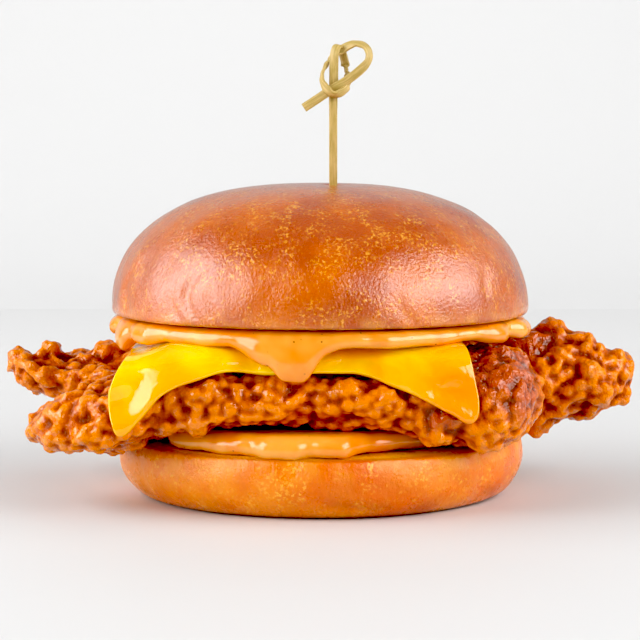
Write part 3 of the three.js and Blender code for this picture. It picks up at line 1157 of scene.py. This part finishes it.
@dataclass
class CheeseSlice:
    """A square slice that has melted over the front of the fillets.

    Attributes:
        middle: Where its middle is, in x.
        half_width: Half of its width.
        thickness: Its thickness.
        top: Level of its top face.
        left_slump: How much lower its left side lies.
        bends: Where it bends down, in y, at the front and at the back.
        bend_radius: Radius of the bends.
        bend_angle: How far it bends, in radians.
        flat_share: The share of the mesh that lies flat.
        front: The front edge.
        back: The back edge.
    """

    middle: float = -6.2
    half_width: float = 41.4
    thickness: float = 2.4
    top: float = 42.8
    left_slump: float = 3.2
    bends: Pair = (-41.3, 34.0)
    bend_radius: float = 9.0
    bend_angle: float = 1.4
    flat_share: float = 0.62
    front: Hem = Hem(11.6, 27.0, 25.4, 0.66, 0.66)
    back: Hem = Hem(6.0, 13.0, 16.0, 0.5, 0.6)

    def drape(self, flat: Array) -> Array:
        """Lays the slice over the fillets.

        Args:
            flat: The vertices of a flat grid from -1 to 1.

        Returns:
            The draped vertices in millimetres.
        """
        crowding = math.pi / 2 * 0.94
        share = np.sin(flat[:, 0] * crowding) / math.sin(crowding)
        v = flat[:, 1]
        front = v < 0
        along = np.clip(np.abs(v) / self.flat_share, 0, 1)
        centre = sum(self.bends) / 2
        bend_start = np.where(front, *self.bends)
        past = np.clip((np.abs(v) - self.flat_share) / (1 - self.flat_share), 0, 1)
        past *= np.where(front, self.front.hang(share), self.back.hang(share))
        turn = np.minimum(past / self.bend_radius, self.bend_angle)
        straight = np.maximum(0, past - self.bend_radius * self.bend_angle)
        out = self.bend_radius * np.sin(turn) + straight * math.cos(self.bend_angle)
        down = self.bend_radius * (1 - np.cos(turn)) + straight * math.sin(self.bend_angle)
        u = share * self.half_width
        slump = self.left_slump * smoothstep((-self.middle - u - 34) / 14)
        left_flare = 1 + 0.085 * smoothstep(past / 15) * (1 - 0.6 * smoothstep((past - 17) / 9))
        right_flare = 1 + 0.0045 * np.clip(past, 0, 18)
        x = self.middle + u * np.where(u < 0, left_flare, right_flare)
        y = centre + (bend_start - centre) * along + np.where(front, -out, out)
        points = np.stack([x, y, self.top - slump - down], axis=1)
        hanging = smoothstep(past / 8)
        wrinkled = hanging * smoothstep((x + 2) / 20) * smoothstep((33 - x) / 8)
        ripple = 0.85 * wave_noise(points, 14, 61, 2) * hanging
        ripple += 0.26 * wave_noise(points, 5.0, 62, 2) * wrinkled
        points[:, 1] += np.where(front, -ripple, ripple)
        points[:, 2] += 0.12 * wave_noise(points, 14, 63, 2)
        return points

    def build(self) -> Piece:
        """Makes and dresses the slice.

        Returns:
            The finished piece.
        """
        deselect_all()
        bpy.ops.mesh.primitive_grid_add(x_subdivisions=110, y_subdivisions=170, size=2)
        piece = bpy.context.object
        piece.name = piece.data.name = "Cheese_slice"
        move_to(piece, self.drape(coordinates(piece) * MM))
        face_outwards(piece)
        if normals_of(piece)[len(piece.data.vertices) // 2, 2] < 0:
            piece.data.flip_normals()
        thick = self.thickness * MM
        apply_modifier(piece, "SOLIDIFY", thickness=thick, offset=-1.0, use_even_offset=True)
        apply_modifier(piece, "SMOOTH", factor=0.5, iterations=8)
        x, _, z = coordinates(piece).T
        tip = bell(x + 46, 7) * bell(z - 22, 6)
        right = smoothstep((x - 5) / 30) * smoothstep((41 - z) / 6)
        paint(piece, "thin", np.clip(0.2 * tip + 0.95 * right, 0, 1))
        hand_over(piece, "cheese_slice", Finish.CHEESE)
        return piece


# ---------------- fillets


KNOB_SPACING = 0.8  # least distance between two knobs, as a share of both radii
KNOB_REACH = 1.13  # how far a knob's dome goes, as a share of its radius
KNOB_BEND = 0.13  # how far knobs are bent out of round, as a share of the largest radius
CREASE_LEVEL = 0.3  # where creases are filled up to


@dataclass(frozen=True)
class KnobLayer:
    """Knobs of crust of one size, packed over a surface.

    Attributes:
        tries: How many places are tried.
        smallest: The least radius in millimetres.
        largest: The greatest radius in millimetres.
        height: How far a knob stands out of its creases, in millimetres.
        level: The share of the height that counts as the skin.
    """

    tries: int
    smallest: float
    largest: float
    height: float
    level: float

    def centres(self, points: Array, rng: np.random.Generator) -> list[tuple[list[float], float]]:
        """Packs knobs, the largest first, so that none stands in another.

        Args:
            points: The surface's vertices in millimetres.
            rng: Seeded random numbers.

        Returns:
            Centre and radius of each knob.
        """
        chosen = rng.choice(len(points), size=min(self.tries, len(points)), replace=False)
        radii = self.smallest + (self.largest - self.smallest) * rng.random(len(chosen)) ** 1.5
        order = np.argsort(-radii, kind="stable")
        cell = 2 * self.largest
        grid: dict[tuple[int, int, int], list] = {}
        kept = []
        for spot, radius in zip(points[chosen[order]].tolist(), radii[order].tolist()):
            home = [int(c // cell) for c in spot]
            near = [
                other
                for step in product((-1, 0, 1), repeat=3)
                for other in grid.get(tuple(h + d for h, d in zip(home, step)), ())
            ]
            if any(math.dist(spot, place) < KNOB_SPACING * (radius + r) for place, r in near):
                continue
            grid.setdefault(tuple(home), []).append((spot, radius))
            kept.append((spot, radius))
        return kept

    def values(self, points: Array, seed: int) -> Array:
        """How high the crust stands at each place, from 0 in creases to 1 on knobs.

        Args:
            points: The surface's vertices in millimetres.
            seed: Picks the knobs.

        Returns:
            One number for each row.
        """
        rng = np.random.default_rng(seed)
        knobs = self.centres(points, rng)
        tallness = rng.uniform(0.75, 1.0, len(knobs)).tolist()
        tree = KDTree(len(knobs))
        for index, (spot, _) in enumerate(knobs):
            tree.insert(spot, index)
        tree.balance()
        bends = [wave_noise(points, self.largest * 2.4, seed + k, 1) for k in range(1, 4)]
        values = []
        for place in (points + KNOB_BEND * self.largest * np.stack(bends, axis=1)).tolist():
            best = CREASE_LEVEL
            for _, index, away in tree.find_n(place, 4):
                share = away / (KNOB_REACH * knobs[index][1])
                if share < 1:
                    best = max(best, tallness[index] * math.sqrt(1 - share * share))
            values.append(best)
        return np.array(values)


@dataclass
class FriedFillet:
    """A fried fillet: its solid, grown over with layers of crust knobs.

    Attributes:
        name: The piece's name.
        node: The solid that it stands for.
        seed: Picks the knobs.
        layers: Broad lobes first, then knobs on them, then small beads.
        glaze: Centres (x, y, z) and radii of sticky glazed patches.
        voxel: The finest detail that the crust keeps.
        RELIEF_SCALES: Rounds of smoothing, and how much the height over that counts.
    """

    name: str
    node: str
    seed: int
    layers: tuple[KnobLayer, ...]
    glaze: tuple[Four, ...]
    voxel: float = 0.53

    RELIEF_SCALES = ((6, 0.45), (30, 0.5), (110, 0.35))

    def relief(self, piece: Piece) -> Array:
        """How high each vertex stands over its surroundings.

        Args:
            piece: The mesh object.

        Returns:
            One number for each vertex, from 0 in creases to 1 on knobs.
        """
        points = coordinates(piece)
        mesh = piece.data
        edges = np.empty(len(mesh.edges) * 2, dtype=np.int32)
        mesh.edges.foreach_get("vertices", edges)
        edges = edges.reshape(-1, 2)
        count = len(points)
        degree = np.bincount(edges.ravel(), minlength=count)[:, None]
        normals = normals_of(piece)
        smooth = points.copy()
        total = np.zeros(count)
        done = 0
        for steps, weight in self.RELIEF_SCALES:
            for _ in range(steps - done):
                sums = [
                    np.bincount(edges[:, 0], smooth[edges[:, 1], k], count)
                    + np.bincount(edges[:, 1], smooth[edges[:, 0], k], count)
                    for k in range(3)
                ]
                smooth = 0.3 * smooth + 0.7 * np.stack(sums, axis=1) / degree
            done = steps
            height = np.einsum("ij,ij->i", points - smooth, normals)
            spread = np.percentile(np.abs(height), 90)
            total += weight * height / spread
        return np.clip(0.5 + 0.42 * total, 0, 1)

    def grow(self, body: Piece, neighbours: BVHTree) -> None:
        """Raises the knobs out of the solid, layer by layer.

        Args:
            body: The smooth solid.
            neighbours: Search tree of all other layers.
        """
        points = coordinates(body)
        room = np.array([neighbours.find_nearest(Vector(p))[3] for p in points.tolist()])
        tallest = sum(layer.height * (1 - layer.level) for layer in self.layers)
        inset = 0.45 * np.clip(tallest - 0.1 - 0.8 * room, 0, tallest)
        normals = normals_of(body)
        inset *= np.where(normals[:, 2] < -0.3, 0.3, 1.0)
        move_to(body, points - inset[:, None] * normals)
        for i, layer in enumerate(self.layers):
            start = coordinates(body)
            values = layer.values(start, self.seed * 10 + i)
            step = layer.height * (values - layer.level)
            move_to(body, start + step[:, None] * normals_of(body))
            LOG.info("%s: knobs up to %.1f mm, mean %.2f", self.name, layer.largest, values.mean())

    def neighbours(self, frame: dict) -> BVHTree:
        """Collects all the other solids of the frame.


        Returns:
            A search tree in millimetres.
        """
        points, polygons = [], []
        for node, other in frame["nodes"].items():
            if node != self.node:
                start = len(points)
                points += coordinates(other).tolist()
                polygons += [[start + i for i in p.vertices] for p in other.data.polygons]
        return BVHTree.FromPolygons([Vector(p) for p in points], polygons)

    def keep_inside(self, points: Array, low: Array, high: Array, ease: float = 1.5) -> Array:
        """Eases vertices back that come near the sides of a box.

        Args:
            points: The vertices in millimetres.
            low: The box's lowest corner.
            high: Its highest corner.
            ease: How far inside the box the easing starts.

        Returns:
            The moved vertices.
        """
        over = np.maximum(points - (high - ease), 0) - np.maximum((low + ease) - points, 0)
        return points - over + ease * np.sign(over) * (1 - np.exp(-np.abs(over) / ease))

    def build(self, frame: dict) -> Piece:
        """Makes and dresses the fillet.


        Returns:
            The finished piece.
        """
        body = merged_copy(self.node, self.name, frame)
        low, high = (np.array(corner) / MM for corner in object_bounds())
        neighbours = self.neighbours(frame)
        apply_modifier(body, "SUBSURF", levels=1, render_levels=1, subdivision_type="SIMPLE")
        apply_modifier(body, "SMOOTH", factor=0.5, iterations=3)
        apply_modifier(body, "REMESH", mode="VOXEL", voxel_size=self.voxel * MM)
        apply_modifier(body, "SMOOTH", factor=0.5, iterations=5)
        self.grow(body, neighbours)
        apply_modifier(body, "REMESH", mode="VOXEL", voxel_size=self.voxel * MM)
        apply_modifier(body, "SMOOTH", factor=0.5, iterations=1)
        points = coordinates(body)
        mask = np.zeros(len(points))
        for x, y, z, radius in self.glaze:
            away = np.linalg.norm(points - np.array([x, y, z]), axis=1)
            uneven = 0.25 * wave_noise(points, 7, self.seed + 2, 2)
            mask = np.maximum(mask, smoothstep(2.2 * (1 - away / radius) + uneven))
        move_to(body, self.keep_inside(points, low, high))
        group = body.vertex_groups.new(name="sticky")
        for index in np.nonzero(mask > 0.05)[0]:
            group.add([int(index)], float(mask[index]), "REPLACE")
        apply_modifier(body, "SMOOTH", factor=0.5, iterations=3, vertex_group="sticky")
        # The relief also sets where the crust's material paints shade into the creases.
        paint(body, "height", self.relief(body))
        paint(body, "glaze", mask)
        hand_over(body, self.node, Finish.CRUST)
        return body


FINE_KNOBS = (
    KnobLayer(20000, 1.15, 2.1, 1.5, 0.65),
    KnobLayer(50000, 0.65, 1.0, 0.36, 0.65),
)

FRONT_FILLET = FriedFillet(
    "Front_fillet",
    "front_fillet",
    seed=3,
    layers=(KnobLayer(6000, 2.2, 4.0, 1.9, 0.65), *FINE_KNOBS),
    glaze=((46, -38, 36, 17), (30, -46, 27, 7)),
)

BACK_FILLET = FriedFillet(
    "Back_fillet",
    "back_fillet",
    seed=4,
    layers=(KnobLayer(6000, 2.4, 4.8, 2.3, 0.65), *FINE_KNOBS),
    glaze=((57, 4, 38, 9),),
    voxel=0.54,
)


# ---------------- knotted pick


@dataclass
class KnottedPick:
    """A bamboo pick whose shaved end is tied in a loop.

    Attributes:
        x: Where it stands.
        y: Where it stands.
        tip: Level of its tip.
        point: Length of its point.
        stem: Width and thickness of the stem.
        strip: Width and thickness of the shaved end.
        shave_from: Level where the shaved end starts.
        shave_to: Level where it has its full width.
        route: Places along the tied end, and how strongly its face turns outwards there.
        fineness: Steps between two places.
        corners: The section's corners, from -1 to 1 in width and thickness.
    """

    x: float = 3.4
    y: float = -6.0
    tip: float = 27.5
    point: float = 6.0
    stem: Pair = (2.1, 1.5)
    strip: Pair = (2.3, 0.8)
    shave_from: float = 98.0
    shave_to: float = 104.5
    route: tuple[Four, ...] = (
        (0, 0, 104, 7), (0.1, 0, 106.3, 7), (0.15, -0.1, 110.8, 7),
        (0.3, -0.2, 113.6, 7), (0.85, 0.3, 115.4, 8), (1.5, 1.3, 115.8, 9),
        (2.1, 2.3, 114.9, 10), (2.8, 2.7, 112.6, 12), (3.3, 2.3, 110, 13),
        (3.9, 1.2, 107, 13), (3.6, -0.4, 105.3, 13), (1.95, -1.9, 103.9, 13),
        (0, -2.5, 103.5, 13), (-1.7, -2.2, 104.8, 13), (-2.85, -1.1, 106.9, 13),
        (-2.75, 0, 109, 13), (-1.65, 0.9, 111.2, 11), (0.3, 1.3, 113.5, 8),
        (2.2, 1.3, 114.9, 5), (4.4, 0.8, 116.1, 4.5), (6.4, 0.2, 116.4, 4.5),
        (8.4, -0.6, 115.5, 4.5), (9.2, -1.1, 113.6, 4.5), (8.7, -1.4, 111.6, 4.5),
        (6.6, -1.5, 109.4, 4.5), (3.75, -1.4, 107.2, 4.5), (0.75, -1.35, 105.4, 4.5),
        (-1.35, -1.3, 104.1, 4.5), (-4.35, -1.3, 102.1, 4.5), (-7.55, -1.3, 100, 4.5),
    )
    fineness: int = 7
    corners: tuple[Pair, ...] = (
        (-1, -0.6), (-0.8, -1), (0.8, -1), (1, -0.6), (1, 0.6), (0.8, 1), (-0.8, 1), (-1, 0.6),
    )

    def line(self) -> tuple[Array, Array]:
        """Draws a smooth curve through the stem and the route.

        Returns:
            The strip's middle line, and how strongly its face turns outwards along it.
        """
        stem = [(0, 0, z, 7) for z in (self.tip, 30, 33.5, 42, 54, 66, 78, 88, 94, 98, 101)]
        knots = np.array(stem + list(self.route), dtype=float)
        padded = np.vstack([2 * knots[0] - knots[1], knots, 2 * knots[-1] - knots[-2]])
        rows = []
        for i in range(len(knots) - 1):
            p0, p1, p2, p3 = padded[i : i + 4]
            last = i == len(knots) - 2
            for t in np.linspace(0, 1, self.fineness + 1)[: None if last else -1]:
                square = (2 * p0 - 5 * p1 + 4 * p2 - p3) * t**2
                cube = (3 * p1 - p0 - 3 * p2 + p3) * t**3
                rows.append(0.5 * (2 * p1 + (p2 - p0) * t + square + cube))
        curve = np.array(rows)
        return curve[:, :3] + np.array([self.x, self.y, 0]), curve[:, 3]

    def build(self) -> Piece:
        """Makes and dresses the pick as one continuous strip.

        Returns:
            The finished piece.
        """
        line, outward = self.line()
        count = len(line)
        tangents = np.gradient(line, axis=0)
        tangents /= np.linalg.norm(tangents, axis=1)[:, None]
        travelled = np.concatenate([[0], np.cumsum(np.linalg.norm(np.diff(line, axis=0), axis=1))])
        stem, strip = np.array(self.stem), np.array(self.strip)
        forward = last = np.array([0.0, -1.0, 0.0])
        points, uvs = [], []
        for i in range(count):
            shave = 1.0
            if travelled[i] < self.shave_to - self.tip:
                shaved = line[i, 2] - self.shave_from
                shave = float(smoothstep(shaved / (self.shave_to - self.shave_from)))
            sharpen = min(1.0, 0.12 + travelled[i] / self.point)
            width, thick = (stem + (strip - stem) * shave) / 2 * sharpen
            before, after = tangents[max(0, i - 2)], tangents[min(count - 1, i + 2)]
            facing = forward + (before - after) * outward[i] * 0.8
            facing -= tangents[i] * facing.dot(tangents[i])
            facing /= np.linalg.norm(facing)
            if facing.dot(last) < 0:
                facing = -facing
            last = facing
            side = np.cross(facing, tangents[i])
            for a, b in self.corners:
                points.append(line[i] + side * a * width + facing * b * thick)
                uvs.append((a * 0.5 + 0.5 + (0 if b < 0 else 2), travelled[i]))
        sides = len(self.corners)
        faces = []
        for start, j in product(range(0, (count - 1) * sides, sides), range(sides)):
            a, b = start + j, start + (j + 1) % sides
            faces.append((a, b, b + sides, a + sides))
        faces.append(tuple(range(sides))[::-1])
        faces.append(tuple((count - 1) * sides + j for j in range(sides)))
        mesh = bpy.data.meshes.new("Knotted_pick")
        mesh.from_pydata((np.array(points) * MM).tolist(), [], faces)
        piece = new_object("Knotted_pick", mesh)
        layer = mesh.uv_layers.new(name="strip")
        for polygon in mesh.polygons:
            for loop in polygon.loop_indices:
                layer.data[loop].uv = uvs[mesh.loops[loop].vertex_index]
        face_outwards(piece)
        hand_over(piece, "knotted_pick", Finish.BAMBOO)
        activate(piece)
        bpy.ops.object.shade_smooth_by_angle(angle=math.radians(38))
        return piece


# ---------------- studio


@dataclass(frozen=True)
class SoftBox:
    """A soft rectangular light that looks at the burger.

    Attributes:
        name: The light's name.
        toward: Direction from the burger to the light.
        distance: How far it is, in metres.
        size: Its width and height in metres.
        power: Its power in watts.
        glossy: Whether it makes highlights.
        seen: Whether the camera sees it.
        tilt: Degrees it is tilted instead, for a light on the wall.
    """

    name: str
    toward: Triple
    distance: float
    size: Pair
    power: float
    glossy: bool = True
    seen: bool = True
    tilt: float | None = None

    def build(self) -> None:
        """Hangs the light."""
        data = bpy.data.lights.new(self.name, "AREA")
        data.shape = "RECTANGLE"
        data.size, data.size_y = self.size
        data.energy = self.power
        lamp = new_object(self.name, data)
        direction = Vector(self.toward).normalized()
        lamp.location = Vector((0, 0, 0.045)) + direction * self.distance
        lamp.rotation_euler = (-direction).to_track_quat("-Z", "Y").to_euler()
        if self.tilt is not None:
            lamp.rotation_euler = (math.radians(self.tilt), 0.0, 0.0)
        lamp.visible_glossy = self.glossy
        lamp.visible_camera = self.seen


@dataclass
class Studio:
    """Camera, soft lights and a pale sweep under and behind the burger.

    Attributes:
        pitch: How far the camera looks down, in degrees.
        distance: How far it stands from what it aims at, in millimetres.
        aim: Level that it aims at, in millimetres.
        lens: Its focal length in millimetres.
        ground: Colour of the floor and the backdrop.
        world_light: How bright the world is.
        black_level: What is shown as black.
        lights: The lights, in the order that they are hung.
    """

    pitch: float = 5.2
    distance: float = 627.6
    aim: float = 44.73
    lens: float = 135.0
    ground: Colour = (0.66, 0.66, 0.66)
    world_light: float = 0.16
    black_level: float = 0.042
    lights: tuple[SoftBox, ...] = (
        SoftBox("left_box", (-0.85, -0.2, 0.41), 0.8, (0.95, 0.72), 10.0),
        SoftBox("right_box", (0.807, -0.359, 0.44), 0.8, (1.1, 0.55), 9.0),
        SoftBox("top_box", (0.05, 0.15, 1.0), 0.95, (0.9, 0.9), 1.0),
        SoftBox("front_fill", (0.0, -1.0, 0.35), 1.4, (1.2, 0.8), 1.5, glossy=False),
        SoftBox("wall_wash", (0.0, 0.55, 0.95), 0.75, (1.6, 0.3), 3.5, glossy=False, tilt=62.0),
        SoftBox("back_card", (0.0, 1.0, 0.35), 0.95, (2.6, 1.0), 4.6, seen=False),
    )

    def camera(self) -> None:
        """Stands the camera where the photograph was taken from."""
        data = bpy.data.cameras.new("camera")
        data.lens, data.sensor_width = self.lens, 36.0
        data.clip_start, data.clip_end = 0.05, 20.0
        camera = new_object("camera", data)
        pitch = math.radians(self.pitch)
        back = Vector((0, -math.cos(pitch), math.sin(pitch)))
        camera.location = Vector((0, 0, self.aim * MM)) + back * self.distance * MM
        camera.rotation_euler = (-back).to_track_quat("-Z", "Y").to_euler()
        bpy.context.scene.camera = camera

    def sweep(self) -> None:
        """Lays the pale floor and the backdrop that curves up behind it."""
        profile = [(-3.0, 0.0), (0.55, 0.0)]
        for i in range(1, 13):
            turn = i / 12 * math.pi / 2
            profile.append((0.55 + 0.5 * math.sin(turn), 0.5 * (1 - math.cos(turn))))
        profile.append((1.05, 3.5))
        for name, part in (("Floor", profile[:2]), ("Backdrop", profile[1:])):
            mesh = bpy.data.meshes.new(name)
            points = [(x, y, z) for x in (-4.0, 4.0) for y, z in part]
            n = len(part)
            faces = [(i, i + n, i + n + 1, i + 1) for i in range(n - 1)]
            mesh.from_pydata(points, [], faces)
            sheet = new_object(name, mesh)
            activate(sheet)
            bpy.ops.object.shade_smooth()
            recipe = Recipe(name.lower() + "_ground")
            mesh.materials.append(recipe.finish(Base_Color=self.ground, Roughness=0.6))
            sheet.visible_glossy = name == "Floor"
            sheet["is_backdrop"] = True

    def build(self) -> None:
        """Sets up camera, world, lights and floor."""
        self.camera()
        world = bpy.data.worlds.new("studio")
        bpy.context.scene.world = world
        world.use_nodes = True
        background = world.node_tree.nodes["Background"]
        background.inputs[0].default_value = (1.0, 1.0, 1.0, 1.0)
        background.inputs[1].default_value = self.world_light
        world.cycles_visibility.glossy = False
        for light in self.lights:
            light.build()
        self.sweep()
        view = bpy.context.scene.view_settings
        view.view_transform = "Standard"
        view.look = "None"
        view.exposure = 0.0
        view.use_curve_mapping = True
        view.curve_mapping.black_level = (self.black_level,) * 3


# ---------------- assembly


def main() -> None:
    """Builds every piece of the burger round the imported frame."""
    logging.basicConfig(level=logging.INFO, format="%(name)s %(message)s")
    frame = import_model()
    Studio().build()
    for piece in (BottomBun(), BOTTOM_SAUCE, CheeseSlice(), TOP_SAUCE, TopBun(), KnottedPick()):
        piece.build()
    for fillet in (FRONT_FILLET, BACK_FILLET):
        fillet.build(frame)


if __name__ == "__main__":
    main()
